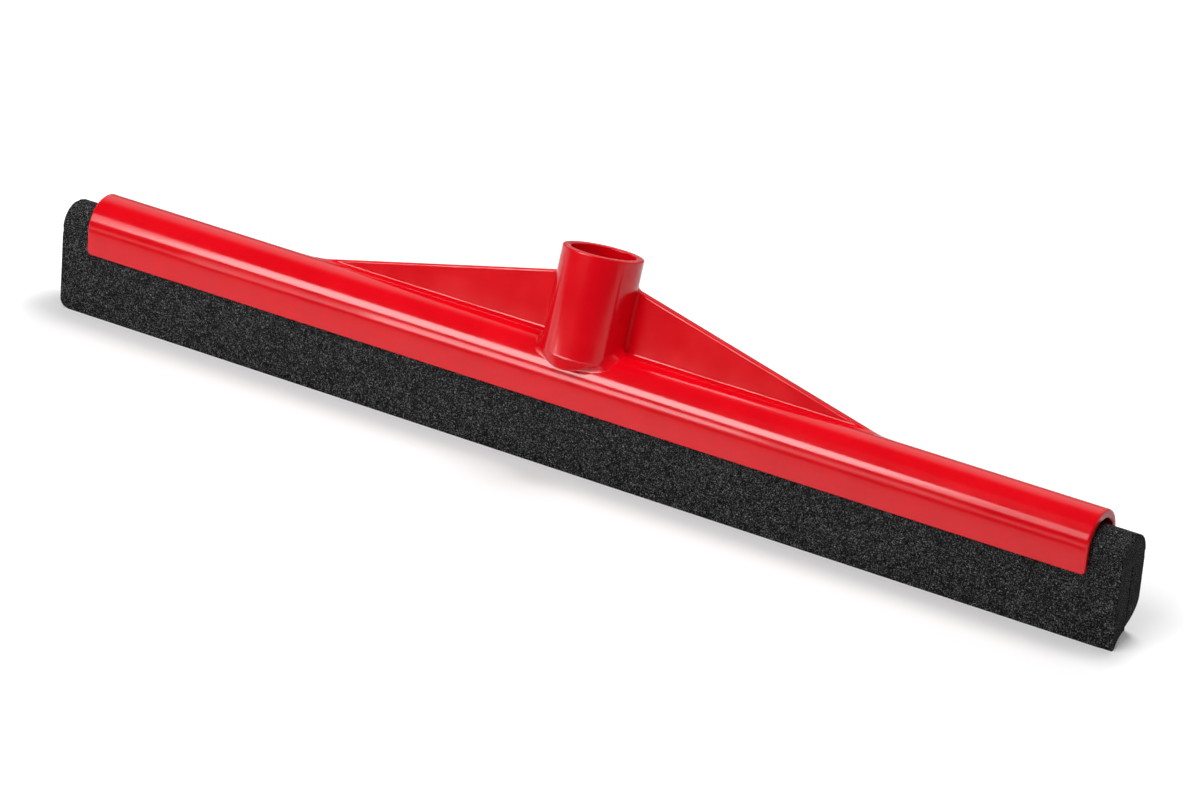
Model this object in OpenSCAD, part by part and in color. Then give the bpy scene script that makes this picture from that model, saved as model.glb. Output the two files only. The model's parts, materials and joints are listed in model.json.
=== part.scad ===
// Floor squeegee head: a one-piece moulded holder with a leaning handle socket,
// and a folded moss rubber blade that slides into it from either end.
// X runs along the blade, Y points to the back, and Z is the height above the floor.

/* [Blade] */
// Length of the moss rubber blade
blade_length = 450; // [300:5:900]
// Thickness of each of the two lips
lip_t = 9.2; // [7:0.1:14]
// Height of the lips that shows below the holder
lip_drop = 26; // [18:0.5:40]
// Flat width at the foot of each lip
foot_land = 1.6; // [1:0.1:3]
// Height of the arched notch between the feet of the lips
notch_rise = 5; // [2:0.5:6.5]
// Width of the slit between the lips
slit_w = 0.8; // [0.4:0.1:1.6]

/* [Channel] */
// Length of blade left bare beyond each end of the channel
bare_end = 12.8; // [4:0.1:30]
// Height of the channel from its lower edge to its crown
channel_h = 21; // [19:0.5:30]
// Thickness of the side walls
side_wall = 1.9; // [1.4:0.1:3]
// Thickness of the roof at its crown
roof_wall = 3.4; // [2:0.1:5]
// Angle at which the dome meets the flat sides
shoulder = 6; // [2:1:12]
// Gap between the roof and the head of the blade
crown_gap = 2.1; // [0.6:0.1:3]
// Running gap between the blade and the walls
fit_gap = 0.3; // [0.2:0.05:0.6]
// Radius of the ridges that grip the neck of the blade
ridge_r = 1.2; // [0.6:0.1:1.3]

/* [Handle socket] */
// Diameter of the bore for the handle
bore_d = 24.4; // [20:0.1:32]
// Thickness of the wall around the bore
socket_wall = 3; // [2:0.1:5]
// Angle at which the socket leans back
lean = 15.8; // [5:0.1:25]
// Height of the rim above the crown, along the axis
socket_h = 35.3; // [28:0.1:60]
// Thickness of the floor of the bore above the crown
socket_floor = 2.3; // [1:0.1:6]
// Distance of the axis behind the middle of the channel, at the crown
axis_back = 0.6; // [-2:0.1:3]
// Depth below the crown to which the foot reaches in front of the dome
foot_drop = 4.5; // [3:0.1:8]
// Depth to which the upright skirt of the foot cuts the leaning front
skirt_cut = 1.4; // [0.4:0.1:3]
// Radius of the edges of the rim
rim_round = 0.5; // [0.3:0.1:1.4]

/* [Ribs] */
// Distance from the socket's axis to the tip of a rib
rib_reach = 118; // [60:1:125]
// Thickness of a rib
rib_t = 3.5; // [2:0.1:5]
// Height of a rib where its edge line meets the axis
rib_rise = 27.5; // [15:0.5:30]
// Distance of the front faces of the ribs behind the axis
rib_back = 5; // [0:0.1:6]
// Radius of the upper edges of a rib
edge_round = 0.5; // [0.3:0.1:0.95]
// Radius of the fillets at the root of a rib
root_round = 1.2; // [0.6:0.1:2]

/* [Hidden] */
$fn = 96;
past = 1;         // how far a cut runs past the face that it opens
root_bite = 1.02; // a root fillet runs a little past tangency, so that its edges cross cleanly

// Heights and widths of the channel and of the blade inside it
blade_w = 2 * lip_t;
bay_r = lip_t + fit_gap;
side_y = bay_r + side_wall;
dome_r = side_y / cos(shoulder);
crown_z = lip_drop + channel_h;
dome_z = crown_z - dome_r;
bay_z = crown_z - roof_wall - bay_r;
channel_length = blade_length - 2 * bare_end;
blade_h = crown_z - roof_wall - crown_gap;
neck_z = blade_h - lip_t;
slit_top = neck_z - ridge_r - 2 * fit_gap;
notch_half = lip_t - foot_land;
notch_r = (pow(notch_half, 2) + pow(notch_rise, 2)) / (2 * notch_rise);

// The socket: its own frame has its origin on the axis at the crown's height
socket_r = bore_d / 2 + socket_wall;
foot_z = crown_z - foot_drop;
skirt_r = socket_r / cos(lean);
foot_front_y = axis_back - foot_drop * tan(lean) - skirt_r + skirt_cut;
rim_rear_y = axis_back + (socket_r - rim_round) * cos(lean)
    + (socket_h - rim_round) * sin(lean) + rim_round;
middle_y = (foot_front_y + rim_rear_y) / 2;

// The dome's own axis, seen from the socket's frame: back from the axis, and along it
dome_back = dome_r * sin(lean) - axis_back * cos(lean);
dome_along = -dome_r * cos(lean) - axis_back * sin(lean);
rib_slope = atan2(rib_rise, rib_reach);
rib_sink = dome_r / 2;
rib_deep = rib_rise + rib_sink;

// Carries a section, drawn with Y across and Z up, along X about the middle
module along_x(length) {
    rotate([90, 0, 90]) linear_extrude(height = length, center = true) children();
}

// Places things in the socket's leaning frame
module on_axis() {
    translate([0, axis_back, crown_z]) rotate([-lean, 0, 0]) children();
}

// Outside of the channel: two flat sides under a dome, with full-round lower edges
module channel_section() {
    intersection() {
        union() {
            translate([0, dome_z]) circle(r = dome_r);
            translate([-side_y, lip_drop + side_wall / 2])
                square([2 * side_y, dome_z - lip_drop - side_wall / 2]);
        }
        translate([-side_y, lip_drop]) square([2 * side_y, channel_h + past]);
    }
    for (side = [-1, 1])
        translate([side * (bay_r + side_wall / 2), lip_drop + side_wall / 2])
            circle(d = side_wall);
}

// The space for the blade: an arch, open at the bottom
module bay_section() {
    translate([0, bay_z]) circle(r = bay_r);
    translate([-bay_r, lip_drop - past]) square([2 * bay_r, bay_z - lip_drop + past]);
}

// Two rounded ridges on the inner walls, at the height of the blade's neck
module ridge_section(r) {
    for (side = [-1, 1]) translate([side * bay_r, neck_z]) circle(r = r);
}

// The leaning tube, closed at the bottom and rounded at its rim
module socket_tube() {
    rotate_extrude() {
        translate([0, -2 * socket_r]) square([socket_r, 2 * socket_r + socket_h - rim_round]);
        translate([0, socket_h - 2 * rim_round]) square([socket_r - rim_round, 2 * rim_round]);
        translate([socket_r - rim_round, socket_h - rim_round]) circle(r = rim_round);
    }
}

// Room in which the tube stays: above the foot's flat underside, and behind the upright
// skirt that takes over from the leaning front of the tube near the dome
module foot_room() {
    room = 2 * (socket_r + socket_h);
    skirt_y = foot_front_y + skirt_r;
    translate([0, skirt_y, foot_z]) cylinder(r = skirt_r, h = room);
    translate([-room / 2, skirt_y, foot_z]) cube(room);
}

// The bore for the handle, with a rounded mouth
module bore() {
    depth = socket_h - socket_floor;
    mouth_r = bore_d / 2 + rim_round;
    translate([0, 0, socket_floor]) cylinder(d = bore_d, h = depth + past);
    difference() {
        translate([0, 0, socket_h - rim_round]) cylinder(r = mouth_r, h = rim_round + past);
        rotate_extrude()
            translate([mouth_r, socket_h - rim_round]) circle(r = rim_round);
    }
}

// One concave fillet where a face of a rib, at a distance back from the axis, meets the dome
module root_fillet(face, out) {
    back = face + out * root_round;
    reach = dome_r + root_round;
    up = dome_along + sqrt(pow(reach, 2) - pow(back - dome_back, 2));
    inner = (dome_r - root_round) / reach;
    core = face - out * rib_t / 2;
    difference() {
        polygon([
            [back, up],
            [core, up],
            [core, up - 2 * root_round],
            [dome_back + inner * (back - dome_back), dome_along + inner * (up - dome_along)],
        ]);
        translate([back, up]) circle(r = root_bite * root_round);
    }
}

// A rib's section square to its sloping edge: a strip with two rounded upper corners
module rib_strip() {
    translate([rib_back, -rib_deep]) square([rib_t, rib_deep - edge_round]);
    translate([rib_back + edge_round, -2 * edge_round])
        square([rib_t - 2 * edge_round, 2 * edge_round]);
    for (corner = [edge_round, rib_t - edge_round])
        translate([rib_back + corner, -edge_round]) circle(r = edge_round);
}

// The triangle below a line that falls with the rib's edge, thick enough to take in its fillets
module under_edge(rise) {
    thick = rib_t + 4 * root_round;
    base = (rise + rib_sink) / tan(rib_slope);
    translate([0, rib_back + (rib_t + thick) / 2, 0]) rotate([90, 0, 0]) linear_extrude(height = thick)
        polygon([[0, -rib_sink], [base, -rib_sink], [0, rise]]);
}

// The right-hand rib: a triangle that falls from the socket to its tip on the dome
module rib() {
    intersection() {
        translate([rib_reach, 0, 0]) rotate([0, rib_slope, 0]) along_x(4 * rib_reach) rib_strip();
        under_edge(rib_rise + past);
    }
    intersection() {
        along_x(4 * rib_reach) {
            root_fillet(rib_back, -1);
            root_fillet(rib_back + rib_t, 1);
        }
        under_edge(rib_rise - root_round);
    }
}

// The moulding: channel, socket and ribs in one piece
module holder() {
    color("crimson") translate([0, -middle_y, 0]) {
        difference() {
            union() {
                along_x(channel_length) channel_section();
                intersection() {
                    on_axis() socket_tube();
                    foot_room();
                }
                on_axis() for (side = [0, 1]) mirror([side, 0, 0]) rib();
            }
            along_x(channel_length + 2 * past) bay_section();
            on_axis() bore();
        }
        along_x(channel_length) intersection() {
            ridge_section(ridge_r);
            translate([-bay_r - side_wall / 2, 0]) square([2 * bay_r + side_wall, crown_z]);
        }
    }
}

// The blade: a strip folded lengthwise into a round head and two lips
module moss_blade() {
    color("dimgray") translate([0, -middle_y, 0]) along_x(blade_length) difference() {
        union() {
            translate([0, neck_z]) circle(r = lip_t);
            translate([-lip_t, 0]) square([blade_w, neck_z]);
        }
        ridge_section(ridge_r + fit_gap);
        translate([-slit_w / 2, 0]) square([slit_w, slit_top]);
        translate([0, slit_top]) circle(d = slit_w);
        translate([0, notch_rise - notch_r]) circle(r = notch_r);
    }
}

holder();
moss_blade();
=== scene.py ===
"""Floor squeegee head: a red moulded holder with a leaning socket, on a folded moss rubber blade.

All sizes are in millimetres in the part's own frame (X along the blade, Y to the back, Z up from
the floor) and become metres when a mesh is made.
"""

import json
import logging
import math
from dataclasses import dataclass, field
from enum import Enum
from typing import Callable

import bpy
import numpy as np
from mathutils import Matrix, Vector


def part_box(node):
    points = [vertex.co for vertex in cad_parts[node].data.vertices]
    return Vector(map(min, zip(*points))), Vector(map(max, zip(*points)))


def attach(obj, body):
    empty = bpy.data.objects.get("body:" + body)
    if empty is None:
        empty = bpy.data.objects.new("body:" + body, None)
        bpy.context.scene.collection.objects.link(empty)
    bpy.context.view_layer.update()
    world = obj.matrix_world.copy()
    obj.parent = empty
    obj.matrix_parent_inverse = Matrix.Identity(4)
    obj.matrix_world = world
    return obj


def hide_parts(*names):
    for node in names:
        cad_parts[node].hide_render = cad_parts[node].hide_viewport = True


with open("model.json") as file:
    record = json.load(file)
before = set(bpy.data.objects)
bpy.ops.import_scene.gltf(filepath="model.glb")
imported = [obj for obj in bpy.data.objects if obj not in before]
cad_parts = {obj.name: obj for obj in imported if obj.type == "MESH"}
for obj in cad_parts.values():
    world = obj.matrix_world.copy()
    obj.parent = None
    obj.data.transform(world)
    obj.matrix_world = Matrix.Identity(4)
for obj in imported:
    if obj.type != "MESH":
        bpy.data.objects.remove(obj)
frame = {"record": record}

Array = np.ndarray
Triple = tuple[float, float, float]
Pair = tuple[float, float]
Level = float | bpy.types.NodeSocket
MM = 0.001
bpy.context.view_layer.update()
# A mix node's colour sockets come after its sockets for numbers and vectors.
MIX_FACTOR, MIX_FIRST, MIX_SECOND, MIX_RESULT = 0, 6, 7, 2
log = logging.getLogger("squeegee")


class Body(Enum):
    """The bodies that the pieces ride on."""

    HOLDER = "holder"
    BLADE = "blade"


class Slot(Enum):
    """The material slots of the record."""

    PLASTIC = "red_plastic"
    RUBBER = "moss_rubber"


def smooth_step(value: Array, low: float, high: float) -> Array:
    """Rises smoothly from 0 at low to 1 at high, as a cubic.

    Args:
        value: Where to evaluate the step.
        low: Value at which the step starts.
        high: Value at which the step ends.

    Returns:
        The step's height, of the shape of value.
    """
    t = np.clip((value - low) / (high - low), 0.0, 1.0)
    return t * t * (3.0 - 2.0 * t)


def round_union(a: Array, b: Array, radius: Array | float) -> Array:
    """Joins two solids, given as distances, with a concave fillet.

    The fillet is the circle of that radius that rolls along both faces: where both distances are
    below the radius, the joint's distance is the radius less the length of the two shortfalls.

    Args:
        a: Signed distance to the first solid.
        b: Signed distance to the second solid.
        radius: Radius of the fillet, one value or one for each point.

    Returns:
        Signed distance to the joined solid.
    """
    u = np.maximum(radius - a, 0.0)
    v = np.maximum(radius - b, 0.0)
    return np.maximum(radius, np.minimum(a, b)) - np.hypot(u, v)


def round_cut(a: Array, b: Array, radius: float) -> Array:
    """Keeps what is inside both solids and rounds the edge between them.

    It is round_union turned inside out.

    Args:
        a: Signed distance to the first solid.
        b: Signed distance to the second solid.
        radius: Radius of the edge.

    Returns:
        Signed distance to what is left.
    """
    return -round_union(-a, -b, radius)


def new_object(
    name: str, points: Array, faces: Array, normals: Array | None = None
) -> bpy.types.Object:
    """Makes an object at the origin from points in millimetres.

    Args:
        name: Name of the object and its mesh.
        points: Corner points, one row each.
        faces: Point indices of the four-sided faces; a repeated index makes a triangle.
        normals: Shading normal of each point, or None for Blender's own.

    Returns:
        The linked object, shaded smooth.
    """
    kept = [list(dict.fromkeys(face)) for face in faces.tolist()]
    mesh = bpy.data.meshes.new(name)
    mesh.from_pydata(points * MM, [], [face for face in kept if len(face) > 2])
    mesh.shade_smooth()
    if normals is not None:
        mesh.normals_split_custom_set_from_vertices(normals.tolist())
    mesh.update()
    obj = bpy.data.objects.new(name, mesh)
    bpy.context.scene.collection.objects.link(obj)
    return obj


def spaced(low: float, high: float, step: float) -> Array:
    """Evenly spaced places from low up to, and not at, high, with about the given step."""
    return np.linspace(low, high, max(1, round((high - low) / step)), endpoint=False)


def refined(low: float, high: float, step: float, close: list[Pair], fine: float) -> Array:
    """Places between two ends that stand closer together within given bands.

    Args:
        low: The first place.
        high: The last place.
        step: Usual distance between places.
        close: Starts and stops of the bands, which lie apart.
        fine: Distance between places in the bands.

    Returns:
        The places in rising order.
    """
    parts = []
    place = low
    for start, stop in sorted(close):
        parts += [spaced(place, start, step), spaced(start, stop, fine)]
        place = stop
    return np.concatenate(parts + [np.linspace(place, high, 1 + round((high - place) / step))])


def grid_faces(rows: int, columns: int, first: int = 0) -> Array:
    """Numbers the four-sided faces of a grid of points stored row by row.

    Args:
        rows: Number of rows of points.
        columns: Number of points in a row.
        first: Index of the grid's first point.

    Returns:
        Point indices, one face to a row.
    """
    index = first + np.arange(rows * columns).reshape(rows, columns)
    corners = (index[:-1, :-1], index[1:, :-1], index[1:, 1:], index[:-1, 1:])
    return np.stack(corners, axis=-1).reshape(-1, 4)


@dataclass
class SurfaceNet:
    """The surface on which a function of a point is zero, as a net of four-sided faces.

    Each cell of a grid that the surface crosses gets one point. It starts at the mean of the
    places where the surface crosses the cell's edges, and then slides along the function's own
    gradient on to the surface. Each grid edge that is crossed joins the four cells around it. A face
    across which the normal turns by more than sharp_turn degrees is split into four.
    """

    function: Callable[[Array, Array, Array], Array]
    grid: Array
    sharp_turn: float = 40.0
    probe: float = 0.01
    slides: int = 4
    longest_slide: float = 0.3
    least_slope: float = 0.1

    def gradient(self, points: Array) -> Array:
        """Central differences of the function along X, Y and Z.

        Args:
            points: Where to take the gradient, one row each.

        Returns:
            The gradients, one row each.
        """
        steps = np.eye(3) * self.probe
        ahead = [self.function(*(points + step).T) for step in steps]
        behind = [self.function(*(points - step).T) for step in steps]
        return (np.array(ahead) - np.array(behind)).T / (2.0 * self.probe)

    def crossings(self, values: Array) -> tuple[Array, Array]:
        """Finds the cells that the surface crosses, and a first point in each.

        Args:
            values: The function on the grid.

        Returns:
            A mask of the crossed cells, and the mean crossing of each cell of the whole grid.
        """
        cells = tuple(n - 1 for n in values.shape)
        total = np.zeros(cells + (3,))
        count = np.zeros(cells)
        for axis in range(3):
            low = np.moveaxis(values, axis, 0)[:-1]
            high = np.moveaxis(values, axis, 0)[1:]
            crossed = (low < 0) != (high < 0)
            share = np.where(crossed, low / np.where(crossed, low - high, 1.0), 0.0)[..., None]
            ends = np.moveaxis(self.grid, axis, 0)
            point = ends[:-1] + share * (ends[1:] - ends[:-1])
            weight = crossed.astype(float)
            for i in (slice(0, -1), slice(1, None)):
                for j in (slice(0, -1), slice(1, None)):
                    total += np.moveaxis((point * weight[..., None])[:, i, j], 0, axis)
                    count += np.moveaxis(weight[:, i, j], 0, axis)
        return count > 0, total / np.maximum(count, 1.0)[..., None]

    def build(self) -> tuple[Array, Array, Array]:
        """Works out the net.

        Returns:
            The points, the faces with their fronts outwards, and the normal at each point.
        """
        values = self.function(*np.moveaxis(self.grid, -1, 0))
        used, means = self.crossings(values)
        points, normals = self.slide(means[used])
        number = np.full(used.shape, -1)
        number[used] = np.arange(len(points))
        return self.split(points, self.faces(values, number), normals)

    def slide(self, points: Array) -> tuple[Array, Array]:
        """Moves points along the function's gradient on to the surface.

        Args:
            points: Points near the surface, one row each.

        Returns:
            The moved points and the surface's normal at each.
        """
        for _ in range(self.slides):
            slope = self.gradient(points)
            fall = self.function(*points.T) / np.maximum(np.sum(slope**2, axis=1), self.least_slope)
            points = points - slope * np.clip(fall, -self.longest_slide, self.longest_slide)[:, None]
        normals = self.gradient(points)
        return points, normals / np.maximum(np.linalg.norm(normals, axis=1), 1e-9)[:, None]

    def split(self, points: Array, faces: Array, normals: Array) -> tuple[Array, Array, Array]:
        """Splits each face across which the normal turns sharply into four.

        A new point on a side that only one split face has stays in the middle of that side, so that
        no gap opens to the whole face beyond it.

        Args:
            points: Points of the net.
            faces: Point indices, one face to a row.
            normals: The surface's normal at each point.

        Returns:
            The points, faces and normals with the split faces in place of the whole ones.
        """
        beside = np.sum(normals[faces] * normals[np.roll(faces, -1, axis=1)], axis=-1)
        sharp = np.min(beside, axis=1) < math.cos(math.radians(self.sharp_turn))
        whole = faces[sharp]
        sides = np.sort(np.stack([whole, np.roll(whole, -1, axis=1)], axis=-1), axis=-1)
        pairs, which, shared = np.unique(
            sides.reshape(-1, 2), axis=0, return_inverse=True, return_counts=True
        )
        middle = len(points) + which.reshape(-1, 4)
        heart = len(points) + len(pairs) + np.arange(len(whole))
        added = np.concatenate([points[pairs].mean(axis=1), points[whole].mean(axis=1)])
        slid, slid_normals = self.slide(added)
        border = np.concatenate([shared < 2, np.zeros(len(whole), bool)])[:, None]
        flat = np.concatenate([normals[pairs].mean(axis=1), normals[whole].mean(axis=1)])
        quarters = [
            np.stack([whole[:, k], middle[:, k], heart, middle[:, k - 1]], axis=-1) for k in range(4)
        ]
        return (
            np.concatenate([points, np.where(border, added, slid)]),
            np.concatenate([faces[~sharp]] + quarters),
            np.concatenate([normals, np.where(border, flat, slid_normals)]),
        )

    def faces(self, values: Array, number: Array) -> Array:
        """Joins the four cells round each grid edge that the surface crosses.

        Args:
            values: The function on the grid.
            number: The index of each crossed cell's point.

        Returns:
            Point indices, one face to a row.
        """
        found = []
        for axis in range(3):
            order = (axis, (axis + 1) % 3, (axis + 2) % 3)
            v = np.transpose(values, order)[:, 1:-1, 1:-1]
            cell = np.transpose(number, order)
            ring = (cell[:, :-1, :-1], cell[:, 1:, :-1], cell[:, 1:, 1:], cell[:, :-1, 1:])
            quads = np.stack(ring, axis=-1)
            leaving = (v[:-1] < 0) & (v[1:] >= 0)
            entering = (v[:-1] >= 0) & (v[1:] < 0)
            found += [quads[leaving], quads[entering][:, ::-1]]
        return np.concatenate(found)


@dataclass
class Finish:
    """A procedural finish: a material with one shader, and a start for its nodes."""

    name: str
    nodes: bpy.types.Nodes = field(init=False, repr=False)
    links: bpy.types.NodeLinks = field(init=False, repr=False)
    material: bpy.types.Material = field(init=False, repr=False)
    shader: bpy.types.Node = field(init=False, repr=False)

    def __post_init__(self) -> None:
        """Makes the material and finds its shader."""
        self.material = bpy.data.materials.new(self.name)
        self.material.use_nodes = True
        self.nodes = self.material.node_tree.nodes
        self.links = self.material.node_tree.links
        self.shader = self.nodes["Principled BSDF"]

    def add(self, kind: str, **settings: object) -> bpy.types.Node:
        """Adds a node and sets its properties and inputs.

        Args:
            kind: Blender's name of the node's type.
            settings: Properties by name; any other name is an input's, with _ for a space.

        Returns:
            The node.
        """
        node = self.nodes.new(kind)
        for key, value in settings.items():
            if hasattr(node, key):
                setattr(node, key, value)
            else:
                node.inputs[key.replace("_", " ")].default_value = value
        return node


def grain_group(detail: float = 3.0, roughness: float = 0.65) -> bpy.types.NodeTree:
    """Builds the shared grain: coarse noise with finer noise on it, about a middle of one half.

    Args:
        detail: How many finer layers lie on the coarse one.
        roughness: Strength of each layer against the one before it.

    Returns:
        A node group with a place and a scale in, and a height out.
    """
    group = bpy.data.node_groups.new("grain", "ShaderNodeTree")
    group.interface.new_socket("Vector", in_out="INPUT", socket_type="NodeSocketVector")
    group.interface.new_socket("Scale", in_out="INPUT", socket_type="NodeSocketFloat")
    group.interface.new_socket("Height", in_out="OUTPUT", socket_type="NodeSocketFloat")
    start = group.nodes.new("NodeGroupInput")
    end = group.nodes.new("NodeGroupOutput")
    noise = group.nodes.new("ShaderNodeTexNoise")
    noise.inputs["Detail"].default_value = detail
    noise.inputs["Roughness"].default_value = roughness
    group.links.new(start.outputs["Vector"], noise.inputs["Vector"])
    group.links.new(start.outputs["Scale"], noise.inputs["Scale"])
    group.links.new(noise.outputs["Fac"], end.inputs["Height"])
    return group


@dataclass(frozen=True)
class GlossPlastic:
    """Glossy moulded plastic: one deep colour, with a faint flow and a very slight orange peel.

    The flow passes from the first value of gloss and of shade to the second, while the grain's height
    passes through flow_span.
    """

    colour: Triple = (0.75, 0.0008, 0.0075)
    gloss: Pair = (0.115, 0.16)
    shade: Pair = (0.9, 1.0)
    flow_size: float = 60.0
    flow_span: Pair = (0.3, 0.7)
    peel_size: float = 900.0
    peel_depth: float = 0.00002
    peel_strength: float = 0.25
    index: float = 1.5

    def build(self, grain: bpy.types.NodeTree) -> bpy.types.Material:
        """Makes the material.

        Args:
            grain: The shared grain group.

        Returns:
            The material.
        """
        finish = Finish("gloss_plastic_red")
        place = finish.add("ShaderNodeTexCoord")
        flow = finish.add("ShaderNodeGroup", node_tree=grain)
        flow.inputs["Scale"].default_value = self.flow_size
        peel = finish.add("ShaderNodeGroup", node_tree=grain)
        peel.inputs["Scale"].default_value = self.peel_size
        span = finish.add("ShaderNodeMapRange")
        span.inputs["From Min"].default_value, span.inputs["From Max"].default_value = self.flow_span
        span.inputs["To Min"].default_value, span.inputs["To Max"].default_value = self.gloss
        bump = finish.add("ShaderNodeBump", Strength=self.peel_strength, Distance=self.peel_depth)
        shade = finish.add("ShaderNodeValToRGB")
        for element, position, depth in zip(shade.color_ramp.elements, self.flow_span, self.shade):
            element.position = position
            element.color = tuple(depth * c for c in self.colour) + (1.0,)
        for group in (flow, peel):
            finish.links.new(place.outputs["Object"], group.inputs["Vector"])
        finish.links.new(flow.outputs["Height"], span.inputs["Value"])
        finish.links.new(flow.outputs["Height"], shade.inputs["Fac"])
        finish.links.new(peel.outputs["Height"], bump.inputs["Height"])
        finish.links.new(span.outputs["Result"], finish.shader.inputs["Roughness"])
        finish.links.new(shade.outputs["Color"], finish.shader.inputs["Base Color"])
        finish.links.new(bump.outputs["Normal"], finish.shader.inputs["Normal"])
        finish.shader.inputs["IOR"].default_value = self.index
        return finish.material


@dataclass(frozen=True)
class MossRubber:
    """Matte closed-cell foam: a dark grain of pits and cell walls, with a few pale specks on it.

    The grain is partly the foam's own mottle and partly painted shade and light. Painted shade darkens
    the low pits and painted light brightens the high cell walls, as the grain's bump would shade them.
    """

    # From the low pits to the high cell walls: the foam's own mottle, with painted shade in the pits and
    # painted light on the walls
    mottle_and_shade_tones: tuple[Pair, ...] = ((0.435, 0.001), (0.525, 0.005), (0.615, 0.031), (0.72, 0.18))
    blue: float = 1.03
    speck: float = 0.3
    speck_size: float = 900.0
    speck_edge: Pair = (0.1, 0.3)
    speck_rarity: float = 4.0
    cell_size: float = 2600.0
    patch_size: float = 300.0
    patch_share: float = 0.12
    depth: float = 0.0003
    roughness: float = 0.85
    specular: float = 0.05

    def build(self, grain: bpy.types.NodeTree) -> bpy.types.Material:
        """Makes the material.

        Args:
            grain: The shared grain group.

        Returns:
            The material.
        """
        finish = Finish("moss_rubber_black")
        place = finish.add("ShaderNodeTexCoord")
        fine = finish.add("ShaderNodeGroup", node_tree=grain)
        fine.inputs["Scale"].default_value = self.cell_size
        patch = finish.add("ShaderNodeGroup", node_tree=grain)
        patch.inputs["Scale"].default_value = self.patch_size
        both = finish.add("ShaderNodeMath", operation="MULTIPLY_ADD")
        both.inputs[1].default_value = self.patch_share
        # This ramp paints the grain's shade and light into the colour: dark in the pits, pale on the cell
        # walls
        ramp = finish.add("ShaderNodeValToRGB")
        while len(ramp.color_ramp.elements) < len(self.mottle_and_shade_tones):
            ramp.color_ramp.elements.new(0.5)
        for element, (position, level) in zip(ramp.color_ramp.elements, self.mottle_and_shade_tones):
            element.position = position
            element.color = (level, level, self.blue * level, 1.0)
        cells = finish.add("ShaderNodeTexVoronoi", Scale=self.speck_size)
        heart = finish.add("ShaderNodeMapRange", To_Min=1.0, To_Max=0.0)
        heart.inputs["From Min"].default_value, heart.inputs["From Max"].default_value = self.speck_edge
        chance = finish.add("ShaderNodeSeparateColor")
        rare = finish.add("ShaderNodeMath", operation="POWER")
        rare.inputs[1].default_value = self.speck_rarity
        share = finish.add("ShaderNodeMath", operation="MULTIPLY")
        mix = finish.add("ShaderNodeMix", data_type="RGBA")
        mix.inputs[MIX_SECOND].default_value = (self.speck,) * 3 + (1.0,)
        bump = finish.add("ShaderNodeBump", Strength=1.0, Distance=self.depth)
        for node in (fine, patch, cells):
            finish.links.new(place.outputs["Object"], node.inputs["Vector"])
        finish.links.new(patch.outputs["Height"], both.inputs[0])
        finish.links.new(fine.outputs["Height"], both.inputs[2])
        finish.links.new(both.outputs["Value"], ramp.inputs["Fac"])
        finish.links.new(cells.outputs["Distance"], heart.inputs["Value"])
        finish.links.new(cells.outputs["Color"], chance.inputs["Color"])
        finish.links.new(chance.outputs["Red"], rare.inputs[0])
        finish.links.new(heart.outputs["Result"], share.inputs[0])
        finish.links.new(rare.outputs["Value"], share.inputs[1])
        finish.links.new(share.outputs["Value"], mix.inputs[MIX_FACTOR])
        finish.links.new(ramp.outputs["Color"], mix.inputs[MIX_FIRST])
        finish.links.new(fine.outputs["Height"], bump.inputs["Height"])
        finish.links.new(mix.outputs[MIX_RESULT], finish.shader.inputs["Base Color"])
        finish.links.new(bump.outputs["Normal"], finish.shader.inputs["Normal"])
        finish.shader.inputs["Roughness"].default_value = self.roughness
        finish.shader.inputs["Specular IOR Level"].default_value = self.specular
        return finish.material


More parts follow.
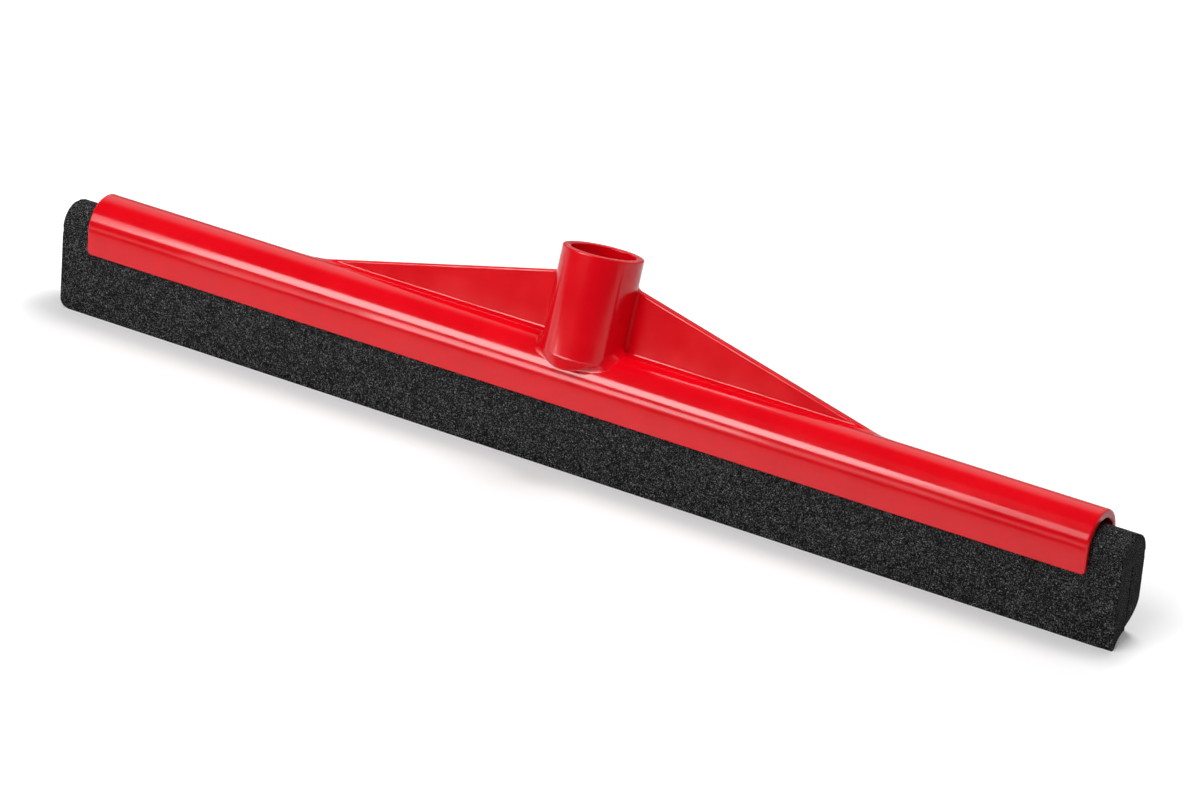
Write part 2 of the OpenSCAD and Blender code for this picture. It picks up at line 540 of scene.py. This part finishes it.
@dataclass
class Holder:
    """The moulding: a domed channel, a leaning socket on an upright foot, and two ribs, in one piece.

    A fade is the stretch of Y, from the channel's middle, over which a form sets in. The fields from
    fine on lay out the net: steps between its lines, and spans and bands of the lines.
    """

    middle_y: float
    lean: float
    bore_r: float
    length: float
    lip_drop: float = 26.0
    crown: float = 47.0
    bay_r: float = 9.5
    side_wall: float = 1.9
    roof_wall: float = 3.4
    ridge_r: float = 1.2
    neck_z: float = 32.3
    socket_wall: float = 3.0
    socket_h: float = 35.3
    socket_floor: float = 2.3
    axis_back: float = 0.6
    foot_drop: float = 4.5
    skirt_cut: float = 1.4
    rim_round: float = 0.5
    foot_arch: float = 6.0
    arch_fade: Pair = (-12.0, -4.0)
    foot_round: float = 0.5
    crease_round: float = 0.1
    rib_reach: float = 118.0
    rib_t: float = 3.5
    rib_rise: float = 27.5
    rib_back: float = 5.0
    edge_round: float = 0.8
    root_round: float = 1.3
    root_reach: float = 1.8
    rib_blend: float = 1.6
    side_blend: float = 3.4
    front_blend: float = 0.35
    blend_fade: Pair = (-13.0, -6.0)
    end_round: float = 0.6
    corner_round: float = 2.2
    edge_spare: float = 0.05
    fine: float = 0.25
    edge_band: Pair = (0.9, 0.6)
    rim_band: Pair = (1.0, 0.5)
    end_band: Pair = (2.0, 0.6)
    socket_step: float = 0.5
    socket_margin: float = 3.0
    rib_step: float = 2.0
    rib_margin: float = 6.0
    plain_margins: Pair = (12.0, 3.0)
    plain_lines: int = 10
    back_step: float = 0.56
    back_span: Pair = (-16.4, 17.4)
    along_step: float = 0.62
    along_span: Pair = (-24.6, 36.2)
    shear_start: float = 0.6
    least_fall: float = 0.02

    @property
    def side_y(self) -> float:
        """Distance of the flat sides from the channel's middle."""
        return self.bay_r + self.side_wall

    @property
    def socket_r(self) -> float:
        """Outer radius of the socket."""
        return self.bore_r + self.socket_wall

    def leaning(self, y: Array, z: Array) -> tuple[Array, Array]:
        """Turns Y and Z into the socket's frame.

        Args:
            y: Distance behind the channel's middle.
            z: Height above the floor.

        Returns:
            Distance behind the socket's axis, and distance along it above the crown.
        """
        back, up = y - self.axis_back, z - self.crown
        cos, sin = math.cos(self.lean), math.sin(self.lean)
        return back * cos - up * sin, back * sin + up * cos

    def channel(self, x: Array, y: Array, z: Array) -> Array:
        """Distance to the channel taken as full: a dome on two flat sides.

        Its ends and its lower edges are rounded.

        Args:
            x: Distance along the blade.
            y: Distance behind the channel's middle.
            z: Height above the floor.

        Returns:
            Signed distance.
        """
        dome_z = self.crown - self.side_y
        section = np.where(z > dome_z, np.hypot(y, z - dome_z), np.abs(y)) - self.side_y
        below = round_cut(self.lip_drop - z, np.abs(x) - self.length / 2, self.corner_round)
        section = round_cut(section, below, self.side_wall / 2)
        return round_cut(section, np.abs(x) - self.length / 2, self.end_round)

    def bay(self, y: Array, z: Array) -> Array:
        """Distance to the arched space for the blade.

        Args:
            y: Distance behind the channel's middle.
            z: Height above the floor.

        Returns:
            Signed distance.
        """
        bay_z = self.crown - self.roof_wall - self.bay_r
        return np.where(z > bay_z, np.hypot(y, z - bay_z), np.abs(y)) - self.bay_r

    def bore(self, x: Array, y: Array, z: Array) -> Array:
        """Distance to the bore for the handle, a leaning cylinder on a flat floor."""
        back, along = self.leaning(y, z)
        return np.maximum(np.hypot(x, back) - self.bore_r, self.socket_floor - along)

    def socket(self, x: Array, y: Array, z: Array) -> Array:
        """Distance to the socket: a leaning tube on an upright foot.

        A skirt cuts the tube's front off upright, and an arched underside cuts it off below.

        Args:
            x: Distance along the blade.
            y: Distance behind the channel's middle.
            z: Height above the floor.

        Returns:
            Signed distance.
        """
        back, along = self.leaning(y, z)
        outer = np.hypot(x, back) - self.socket_r
        tube = round_cut(outer, along - self.socket_h, self.rim_round)
        tube = round_cut(tube, -self.bore(x, y, z), self.rim_round)
        skirt_r = self.socket_r / math.cos(self.lean)
        skirt_y = self.axis_back - self.foot_drop * math.tan(self.lean) + self.skirt_cut
        skirt = np.where(y < skirt_y, np.hypot(x, y - skirt_y), np.abs(x)) - skirt_r
        foot = round_cut(tube, skirt, self.crease_round)
        front = 1.0 - smooth_step(y, *self.arch_fade)
        underside = self.crown - self.foot_drop + self.foot_arch * front * (x / self.socket_r) ** 2
        return round_cut(foot, underside - z, self.foot_round)

    def ribs(self, x: Array, y: Array, z: Array) -> Array:
        """Distance to the two ribs: leaning strips whose edges fall from the socket to the dome.

        Args:
            x: Distance along the blade.
            y: Distance behind the channel's middle.
            z: Height above the floor.

        Returns:
            Signed distance.
        """
        back, along = self.leaning(y, z)
        slope = math.atan2(self.rib_rise, self.rib_reach)
        strip = np.abs(back - self.rib_back - self.rib_t / 2) - self.rib_t / 2
        edge = (along - self.rib_rise) * math.cos(slope) + np.abs(x) * math.sin(slope)
        return np.maximum(round_cut(strip, edge, self.edge_round), -along - self.side_y / 2)

    def distance(self, x: Array, y: Array, z: Array) -> Array:
        """Distance to the whole moulding, in the part's frame.

        The ribs meet the dome in root fillets that reach further along the dome than up the rib.
        The socket meets the dome in a fillet that is wide at its sides and narrow under its front.

        Args:
            x: Distance along the blade.
            y: Distance behind the part's middle.
            z: Height above the floor.

        Returns:
            Signed distance, below zero in the plastic.
        """
        y = y + self.middle_y
        channel, ribs, socket = self.channel(x, y, z), self.ribs(x, y, z), self.socket(x, y, z)
        beside = smooth_step(y, *self.blend_fade)
        blend = self.front_blend + (self.side_blend - self.front_blend) * beside
        rooted = round_union(channel, ribs * (self.root_round / self.root_reach), self.root_round)
        footed = round_union(channel, socket, blend)
        body = np.minimum(rooted, np.minimum(footed, round_union(ribs, socket, self.rib_blend)))
        body = np.maximum(body, -self.bore(x, y, z))
        body = round_cut(body, -self.bay(y, z), self.side_wall / 2 - self.edge_spare)
        ridge = np.hypot(np.abs(y) - self.bay_r, z - self.neck_z) - self.ridge_r
        ridge = np.maximum(ridge, np.abs(x) - self.length / 2 + self.end_round)
        return np.minimum(body, ridge)

    def lattice(self) -> Array:
        """Lays the grid in the socket's leaning frame, so that tube and ribs lie along its lines.

        Beside the socket the lines above the dome fall with the edges of the ribs.

        Returns:
            The grid's points.
        """
        end = self.length / 2
        near = self.socket_r + self.socket_margin
        rib_end = self.rib_reach + self.rib_margin
        plain = (self.rib_reach + self.plain_margins[0], end - self.plain_margins[1])
        half = np.concatenate([
            spaced(self.socket_step / 2, near, self.socket_step),
            spaced(near, rib_end, self.rib_step),
            np.linspace(*plain, self.plain_lines),
            spaced(end - self.end_band[0], end + self.end_band[1], self.fine),
        ])
        slope = self.rib_rise / self.rib_reach
        edge = self.rib_rise - slope * near
        below, above = self.edge_band
        faces = (self.rib_back, self.rib_back + self.rib_t)
        rib_bands = [(face - below, face + below) for face in faces]
        rim = (self.socket_h - self.rim_band[0], self.socket_h + self.rim_band[1])
        edge_bands = [(edge - below, edge + above), rim]
        back = refined(*self.back_span, self.back_step, rib_bands, self.fine)
        along = refined(*self.along_span, self.along_step, edge_bands, self.fine)
        x, b, a = np.meshgrid(np.concatenate([-half[::-1], half]), back, along, indexing="ij")
        start = self.shear_start
        fall = (self.rib_rise - slope * np.abs(x) - start) / (edge - start)
        a = np.where(a > start, start + (a - start) * np.clip(fall, self.least_fall, 1.0), a)
        cos, sin = math.cos(self.lean), math.sin(self.lean)
        y = self.axis_back + b * cos + a * sin - self.middle_y
        return np.stack([x, y, self.crown - b * sin + a * cos], axis=-1)

    def build(self, material: bpy.types.Material) -> bpy.types.Object:
        """Makes the moulding and dresses it.

        Args:
            material: Its finish.

        Returns:
            The piece, riding on the holder's body.
        """
        points, faces, normals = SurfaceNet(self.distance, self.lattice()).build()
        piece = new_object("holder_moulding", points, faces, normals)
        piece.data.materials.append(material)
        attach(piece, Body.HOLDER.value)
        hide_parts("holder")
        return piece


@dataclass
class Blade:
    """The blade: a strip of foam folded lengthwise into a round head and two lips.

    Its skin is worked out in three parameters: the way round the fold from the front foot to the
    rear foot, the way through the strip from its outside to the slit, and the way along the blade.
    The values of corners and heads are the wear of the left end and of the right end.
    """

    middle_y: float
    length: float
    channel_length: float
    lip_t: float = 9.2
    height: float = 41.5
    foot_land: float = 1.6
    notch_rise: float = 5.0
    slit_w: float = 0.8
    slit_top: float = 30.5
    notch_share: float = 0.35
    slit_round: float = 0.97
    neck_z: float = 32.3
    groove_r: float = 1.5
    groove_loss: float = 0.55
    edge_round: float = 0.3
    rear_cut: float = 4.5
    rear_cut_h: float = 15.0
    rear_cut_bow: float = 1.6
    rear_cut_edge: float = 1.5
    corners: Pair = (3.8, 0.2)
    heads: Pair = (0.5, 2.0)
    step: float = 2.5
    end_zone: float = 3.0
    end_lines: int = 31
    around_lines: int = 117
    through_lines: int = 9

    def outside(self, u: Array) -> Array:
        """The fold's outer line: up the front, over the half-round head and down the rear.

        Args:
            u: The way round the fold, from 0 at the front foot to 1 at the rear foot.

        Returns:
            Y and Z of the line, with the grooves that the holder's ridges sit in left out.
        """
        straight = self.height - self.lip_t
        arc = math.pi * self.lip_t
        s = u * (2.0 * straight + arc)
        turn = np.clip((s - straight) / self.lip_t, 0.0, math.pi)
        rise = np.minimum(s, straight) - np.maximum(s - straight - arc, 0.0)
        return np.stack([-self.lip_t * np.cos(turn), rise + self.lip_t * np.sin(turn)], axis=-1)

    def inside(self, u: Array) -> Array:
        """The fold's inner line: along the notch, up the slit, round its top and down again.

        The notch is a circle through both lands' inner edges, and the line's half is mirrored.

        Args:
            u: The way round the fold, from 0 at the front foot to 1 at the rear foot.

        Returns:
            Y and Z of the line.
        """
        half = self.lip_t - self.foot_land
        radius = (half**2 + self.notch_rise**2) / (2.0 * self.notch_rise)
        way = 1.0 - np.abs(2.0 * u - 1.0)
        share = self.notch_share
        across = half + (self.slit_w / 2 - half) * np.clip(way / share, 0.0, 1.0)
        arch = np.sqrt(radius**2 - across**2) + self.notch_rise - radius
        climb = np.clip((way - share) / (1.0 - share), 0.0, 1.0)
        y = across * np.sqrt(np.clip(1.0 - smooth_step(climb, self.slit_round, 1.0), 0.0, 1.0))
        z = arch + (self.slit_top - arch) * climb
        return np.stack([np.where(u < 0.5, -y, y), np.maximum(z, 0.0)], axis=-1)

    def groove(self, point: Array, x: Array) -> Array:
        """Depth of the neck's groove: a circle's arc that fades to a crease in the bare ends.

        Args:
            point: Y and Z on the outer line.
            x: Distance along the blade.

        Returns:
            Depth below the outer line.
        """
        off = np.abs(point[..., 1] - self.neck_z)
        depth = np.sqrt(np.maximum(self.groove_r**2 - off**2, 0.0))
        bare = smooth_step(np.abs(x), self.channel_length / 2, self.length / 2)
        return depth * (1.0 - self.groove_loss * bare)

    def end_at(self, side: float, point: Array) -> Array:
        """Where the blade ends: square, with worn corners.

        Each worn corner is a quarter circle. At the right end the rear lip's corner is cut away too.

        Args:
            side: -1 for the left end and 1 for the right end.
            point: Y and Z.

        Returns:
            Distance of the end from the blade's middle.
        """
        z = point[..., 1]
        right = int(side > 0)
        worn = np.zeros_like(z)
        for radius, off in ((self.corners[right], z), (self.heads[right], self.height - z)):
            worn = worn + radius * (1.0 - np.sqrt(1.0 - np.clip(1.0 - off / radius, 0.0, 1.0) ** 2))
        cut = self.rear_cut * np.clip(1.0 - z / self.rear_cut_h, 0.0, 1.0) ** self.rear_cut_bow
        rear = smooth_step(point[..., 0], 0.0, self.rear_cut_edge) if side > 0 else 0.0
        return self.length / 2 - np.maximum(worn, cut * rear)

    def loop(self, v: Array, u: Array) -> Array:
        """A point of the strip's section between its outer and inner lines.

        Args:
            v: The way through the strip, from 0 outside to 1 at the slit.
            u: The way round the fold.

        Returns:
            Y and Z, for each pair of v and u.
        """
        return self.outside(u) + (self.inside(u) - self.outside(u)) * v[..., None]

    def skin(self, u: Array, v: Array, t: Array) -> Array:
        """Points of the blade's solid: the section's point, carried along X between the two ends.

        The outside sinks towards the strip's core by the groove, and by a quarter circle at each end.

        Args:
            u: The way round the fold.
            v: The way through the strip.
            t: The way along the blade, from -1 to 1.

        Returns:
            X, Y and Z.
        """
        point = self.loop(v, u)
        left = self.end_at(-1.0, point)
        right = self.end_at(1.0, point)
        x = np.where(t < 0, t * left, t * right)
        sink = self.groove(point, x) * (v < 0.5)
        gone = np.minimum(left, right) - np.abs(x)
        curl = np.clip(1.0 - gone / self.edge_round, 0.0, 1.0)
        sink = sink + self.edge_round * (1.0 - np.sqrt(1.0 - curl**2)) * (v < 0.5)
        to_core = self.loop(np.full_like(v, 0.5), u) - point
        reach = np.maximum(np.linalg.norm(to_core, axis=-1, keepdims=True), 1e-6)
        point = point + to_core / reach * sink[..., None]
        return np.stack([x, point[..., 0] - self.middle_y, point[..., 1]], axis=-1)

    def build(self, material: bpy.types.Material) -> bpy.types.Object:
        """Makes the blade and dresses it.

        Args:
            material: Its finish.

        Returns:
            The piece, riding on the blade's body.
        """
        near = 1.0 - 2.0 * self.end_zone / self.length
        middle = spaced(0.0, near, 2.0 * self.step / self.length)
        half = np.concatenate([middle, np.linspace(near, 1.0, self.end_lines)])
        t = np.concatenate([-half[:0:-1], half])
        around = np.linspace(0.0, 1.0, self.around_lines)
        ends = np.linspace(0.0, 1.0, self.through_lines)
        sheets = []
        for v in (0.0, 1.0):
            u_grid, t_grid = np.meshgrid(around, t, indexing="ij")
            sheets.append((self.skin(u_grid, np.full_like(u_grid, v), t_grid), v > 0.5))
        for side in (-1.0, 1.0):
            u_grid, v_grid = np.meshgrid(around, ends, indexing="ij")
            sheets.append((self.skin(u_grid, v_grid, np.full_like(u_grid, side)), side > 0))
        for foot in (0.0, 1.0):
            v_grid, t_grid = np.meshgrid(ends, t, indexing="ij")
            sheets.append((self.skin(np.full_like(v_grid, foot), v_grid, t_grid), foot < 0.5))
        points, faces = self.sew(sheets)
        piece = new_object("moss_blade_strip", points, faces)
        piece.data.materials.append(material)
        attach(piece, Body.BLADE.value)
        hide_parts("moss_blade")
        return piece

    @staticmethod
    def sew(sheets: list[tuple[Array, bool]], digits: int = 4) -> tuple[Array, Array]:
        """Joins grids of points at their shared borders.

        Args:
            sheets: Grids of points, each with whether its faces turn over.
            digits: Decimals to which two points agree when they are one.

        Returns:
            The points without doubles, and the faces.
        """
        faces = []
        total = 0
        for grid, turned in sheets:
            quads = grid_faces(grid.shape[0], grid.shape[1], total)
            faces.append(quads[:, ::-1] if turned else quads)
            total += grid.shape[0] * grid.shape[1]
        points = np.concatenate([grid.reshape(-1, 3) for grid, _ in sheets])
        rounded = np.round(points, digits)
        _, first, same = np.unique(rounded, axis=0, return_index=True, return_inverse=True)
        return points[first], same.reshape(-1)[np.concatenate(faces)]


@dataclass(frozen=True)
class SoftBox:
    """A soft box: a flat lamp that lights matt surfaces, or shows in gloss, or does both."""

    name: str
    place: Triple
    aim: Triple
    width: float
    height: float
    watts: float
    lights: bool = True
    shows: bool = True

    def build(self) -> None:
        """Hangs the lamp at its place, turned to its aim."""
        data = bpy.data.lights.new(self.name, "AREA")
        data.shape = "RECTANGLE"
        data.size, data.size_y = self.width * MM, self.height * MM
        data.energy = self.watts
        lamp = bpy.data.objects.new(self.name, data)
        lamp.visible_camera = False
        lamp.visible_diffuse = self.lights
        lamp.visible_glossy = self.shows
        lamp.location = Vector(self.place) * MM
        away = Vector(self.place) - Vector(self.aim)
        lamp.rotation_euler = away.to_track_quat("Z", "Y").to_euler()
        bpy.context.scene.collection.objects.link(lamp)


@dataclass(frozen=True)
class FloorLift:
    """Light that the floor shows to the camera alone, to stay white away from the object.

    It passes from the first level to the second over reach, in metres, of the stretched distance from
    a rectangle on the floor.
    """

    middle: Triple
    half: Triple
    stretch: Triple
    levels: Pair
    reach: Pair = (0.1, 0.45)

    def build(self, finish: Finish) -> bpy.types.NodeSocket:
        """Adds the nodes that measure the distance and turn it into a level.

        Args:
            finish: The floor's finish.

        Returns:
            The socket with the level.
        """
        start = finish.add("ShaderNodeTexCoord").outputs["Object"]
        steps = (
            ("SUBTRACT", Vector(self.middle) * MM),
            ("ABSOLUTE", None),
            ("SUBTRACT", Vector(self.half) * MM),
            ("MAXIMUM", Vector()),
            ("MULTIPLY", Vector(self.stretch)),
        )
        for operation, other in steps:
            node = finish.add("ShaderNodeVectorMath", operation=operation)
            finish.links.new(start, node.inputs[0])
            if other is not None:
                node.inputs[1].default_value = other
            start = node.outputs["Vector"]
        far = finish.add("ShaderNodeVectorMath", operation="LENGTH")
        finish.links.new(start, far.inputs[0])
        ramp = finish.add("ShaderNodeMapRange", interpolation_type="SMOOTHSTEP")
        ramp.inputs["From Min"].default_value, ramp.inputs["From Max"].default_value = self.reach
        ramp.inputs["To Min"].default_value, ramp.inputs["To Max"].default_value = self.levels
        finish.links.new(far.outputs["Value"], ramp.inputs["Value"])
        return ramp.outputs["Result"]


@dataclass
class Surroundings:
    """The room around the stage, as levels of white light by the kind and direction of a ray.

    The camera sees plain white. Gloss sees a dark room with a wall at the back, which grows paler
    upward and ends at the ceiling. All else is lit by a sky that grows brighter overhead. A field that
    ends in _y or _z is the stretch of a direction's Y or Z over which one level passes into the next.
    """

    sky: Pair = (0.1, 0.4)
    sky_z: Pair = (0.0, 1.0)
    wall: Pair = (0.08, 0.85)
    wall_y: Pair = (0.05, 0.5)
    wall_z: Pair = (0.05, 0.4)
    ceiling: float = 0.04
    ceiling_z: Pair = (0.7, 0.88)
    to_camera: float = 1.0
    nodes: bpy.types.Nodes = field(init=False, repr=False)
    links: bpy.types.NodeLinks = field(init=False, repr=False)
    rays: bpy.types.Node = field(init=False, repr=False)
    axes: bpy.types.Node = field(init=False, repr=False)

    def __post_init__(self) -> None:
        """Makes the scene's world, with the nodes that tell a ray's kind and its direction."""
        world = bpy.data.worlds.new("studio")
        world.use_nodes = True
        bpy.context.scene.world = world
        self.nodes = world.node_tree.nodes
        self.links = world.node_tree.links
        self.rays = self.nodes.new("ShaderNodeLightPath")
        direction = self.nodes.new("ShaderNodeTexCoord")
        self.axes = self.nodes.new("ShaderNodeSeparateXYZ")
        self.links.new(direction.outputs["Generated"], self.axes.inputs["Vector"])

    def put(self, level: Level, socket: bpy.types.NodeSocket) -> None:
        """Feeds a socket with a level.

        Args:
            level: A number, or the socket of another node.
            socket: The socket to feed.
        """
        if isinstance(level, float):
            socket.default_value = level
        else:
            self.links.new(level, socket)

    def ramp(self, axis: str, span: Pair, first: Level, second: Level) -> bpy.types.NodeSocket:
        """Passes smoothly from one level to another along an axis of the direction.

        Args:
            axis: The axis: X, Y or Z.
            span: Where on the axis the passage starts and ends.
            first: The level before the span.
            second: The level after the span.

        Returns:
            The socket with the level.
        """
        node = self.nodes.new("ShaderNodeMapRange")
        node.interpolation_type = "SMOOTHSTEP"
        node.inputs["From Min"].default_value, node.inputs["From Max"].default_value = span
        self.links.new(self.axes.outputs[axis], node.inputs["Value"])
        self.put(first, node.inputs["To Min"])
        self.put(second, node.inputs["To Max"])
        return node.outputs["Result"]

    def choose(self, ray: str, others: Level, own: Level) -> bpy.types.NodeSocket:
        """Gives the rays of one kind a level of their own.

        Args:
            ray: Name of the socket that tells this kind of ray.
            others: The level for all other rays.
            own: The level for the rays of this kind.

        Returns:
            The socket with the level.
        """
        node = self.nodes.new("ShaderNodeMix")
        self.links.new(self.rays.outputs[ray], node.inputs["Factor"])
        self.put(others, node.inputs["A"])
        self.put(own, node.inputs["B"])
        return node.outputs["Result"]

    def build(self) -> None:
        """Works out the levels and gives them to the world's light."""
        wall = self.ramp("Z", self.ceiling_z, self.ramp("Z", self.wall_z, *self.wall), self.ceiling)
        room = self.ramp("Y", self.wall_y, self.ceiling, wall)
        sky = self.ramp("Z", self.sky_z, *self.sky)
        level = self.choose("Is Camera Ray", self.choose("Is Glossy Ray", sky, room), self.to_camera)
        light = self.nodes["Background"]
        light.inputs["Color"].default_value = (1.0, 1.0, 1.0, 1.0)
        self.links.new(level, light.inputs["Strength"])


@dataclass(frozen=True)
class Studio:
    """The floor, the lights and the camera."""

    azimuth: float = 28.756
    elevation: float = 24.566
    roll: float = 4.952
    distance: float = 1917.2
    target: Triple = (27.26, -37.53, 45.0)
    focal_px: float = 5377.0
    photo_w: float = 1200.0
    sensor: float = 36.0
    sight: float = 20000.0
    floor_half: float = 800.0
    floor_albedo: float = 0.8
    lifts: tuple[FloorLift, FloorLift] = (
        # Wide round the part, and close round its shadow
        FloorLift((0.0, 0.0, 0.0), (0.0, 0.0, 0.0), (0.4, 1.0, 0.0), (0.15, 0.8)),
        FloorLift((0.0, -75.0, 0.0), (214.0, 55.0, 0.0), (12.0, 4.0, 0.0), (0.0, 0.22)),
    )
    card_x: Pair = (-340.0, 200.0)
    card_y: Pair = (-155.0, -82.0)
    card_z: float = 1.5
    card_albedo: float = 0.08
    boxes: tuple[SoftBox, ...] = (
        SoftBox("key", (-433.0, -715.0, 418.0), (-45.0, -15.0, 38.0), 900.0, 330.0, 2.7),
        SoftBox("fill", (-60.0, -680.0, 950.0), (0.0, 0.0, 50.0), 700.0, 500.0, 4.6, shows=False),
        SoftBox("top", (130.0, 260.0, 985.0), (0.0, 0.0, 20.0), 360.0, 360.0, 5.2, shows=False),
        # The bright heart of the band along the dome
        SoftBox(
            "heart_card", (-413.0, -722.0, 418.0), (-28.0, -27.0, 38.0), 430.0, 300.0, 2.95, lights=False
        ),
        # The gloss low on the dome, before the socket's foot and to both sides of it
        SoftBox("low_card", (-80.0, -172.0, 30.0), (5.0, -19.0, 30.0), 160.0, 44.0, 0.1, lights=False),
        SoftBox("low_strip", (-75.0, -176.0, 30.0), (10.0, -23.0, 30.0), 320.0, 44.0, 0.05, lights=False),
        # The gloss on the dome before the right rib
        SoftBox("rib_card", (-88.0, 158.0, 264.0), (43.0, -2.0, 47.0), 76.0, 50.0, 0.034, lights=False),
    )

    def floor(self) -> bpy.types.Object:
        """Lays a pale floor that shows white to the camera and keeps the shadow.

        Returns:
            The floor.
        """
        corner = np.array([[-1, -1, 0], [1, -1, 0], [1, 1, 0], [-1, 1, 0]], float) * self.floor_half
        floor = new_object("floor", corner, np.array([[0, 1, 2, 3]]))
        finish = Finish("pale_floor")
        finish.shader.inputs["Base Color"].default_value = (self.floor_albedo,) * 3 + (1.0,)
        finish.shader.inputs["Roughness"].default_value = 1.0
        finish.shader.inputs["Specular IOR Level"].default_value = 0.0
        finish.shader.inputs["Emission Color"].default_value = (1.0, 1.0, 1.0, 1.0)
        path = finish.add("ShaderNodeLightPath")
        total = finish.add("ShaderNodeMath", operation="ADD")
        shown = finish.add("ShaderNodeMath", operation="MULTIPLY")
        for lift, socket in zip(self.lifts, total.inputs):
            finish.links.new(lift.build(finish), socket)
        finish.links.new(path.outputs["Is Camera Ray"], shown.inputs[0])
        finish.links.new(total.outputs["Value"], shown.inputs[1])
        finish.links.new(shown.outputs["Value"], finish.shader.inputs["Emission Strength"])
        floor.data.materials.append(finish.material)
        return floor

    def flag(self) -> bpy.types.Object:
        """Lays a dark card on the floor in front, which shows only in gloss, as a line under the dome.

        Returns:
            The card.
        """
        (left, right), (near, far) = self.card_x, self.card_y
        outline = ((left, near), (right, near), (right, far), (left, far))
        corner = np.array([[x, y, self.card_z] for x, y in outline])
        card = new_object("flag", corner, np.array([[0, 1, 2, 3]]))
        finish = Finish("dark_card")
        finish.shader.inputs["Base Color"].default_value = (self.card_albedo,) * 3 + (1.0,)
        finish.shader.inputs["Roughness"].default_value = 1.0
        finish.shader.inputs["Specular IOR Level"].default_value = 0.0
        card.data.materials.append(finish.material)
        card.visible_camera = card.visible_diffuse = card.visible_shadow = False
        return card

    def camera(self) -> None:
        """Sets the camera, turned and raised about the target and rolled about its line of sight."""
        turn, tilt, roll = map(math.radians, (self.azimuth, self.elevation, self.roll))
        level = math.cos(tilt)
        toward = Vector((math.sin(turn) * level, -math.cos(turn) * level, math.sin(tilt)))
        place = Vector(self.target) + toward * self.distance
        rotation = toward.to_track_quat("Z", "Y").to_matrix() @ Matrix.Rotation(roll, 3, "Z")
        data = bpy.data.cameras.new("camera")
        data.sensor_width = self.sensor
        data.lens = self.focal_px * self.sensor / self.photo_w
        data.clip_end = self.sight * MM
        camera = bpy.data.objects.new("camera", data)
        camera.matrix_world = Matrix.Translation(place * MM) @ rotation.to_4x4()
        bpy.context.scene.collection.objects.link(camera)
        bpy.context.scene.camera = camera

    def build(self) -> None:
        """Sets up the stage, the lights, the view and the camera."""
        bpy.context.scene.view_settings.view_transform = "Standard"
        self.floor()
        self.flag()
        Surroundings().build()
        for box in self.boxes:
            box.build()
        self.camera()


def corners(box: tuple[Vector, Vector]) -> list[list[float]]:
    """The two corners of a box as plain lists of numbers."""
    return [list(map(float, corner)) for corner in box]


def main() -> None:
    """Builds the pieces in order."""
    logging.basicConfig(level=logging.INFO, format="%(name)s: %(message)s")
    mounts = {mount["name"]: mount for mount in frame["record"]["mounts"]}
    socket = mounts["handle_socket"]
    lean = math.atan2(socket["axis"][1], socket["axis"][2])
    blade_low, blade_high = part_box("moss_blade")
    holder_low, holder_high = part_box("holder")
    middle_y = -(blade_low.y + blade_high.y) / 2 / MM
    channel_length = (holder_high.x - holder_low.x) / MM
    blade_length = (blade_high.x - blade_low.x) / MM

    Studio().build()
    grain = grain_group()
    holder = Holder(middle_y, lean, socket["dims"]["r_mm"], channel_length)
    blade = Blade(middle_y, blade_length, channel_length)
    pieces = [
        holder.build(GlossPlastic().build(grain)),
        blade.build(MossRubber().build(grain)),
    ]
    for piece in pieces:
        mesh = piece.data
        log.info("%s: %d points, %d faces", piece.name, len(mesh.vertices), len(mesh.polygons))


if __name__ == "__main__":
    main()
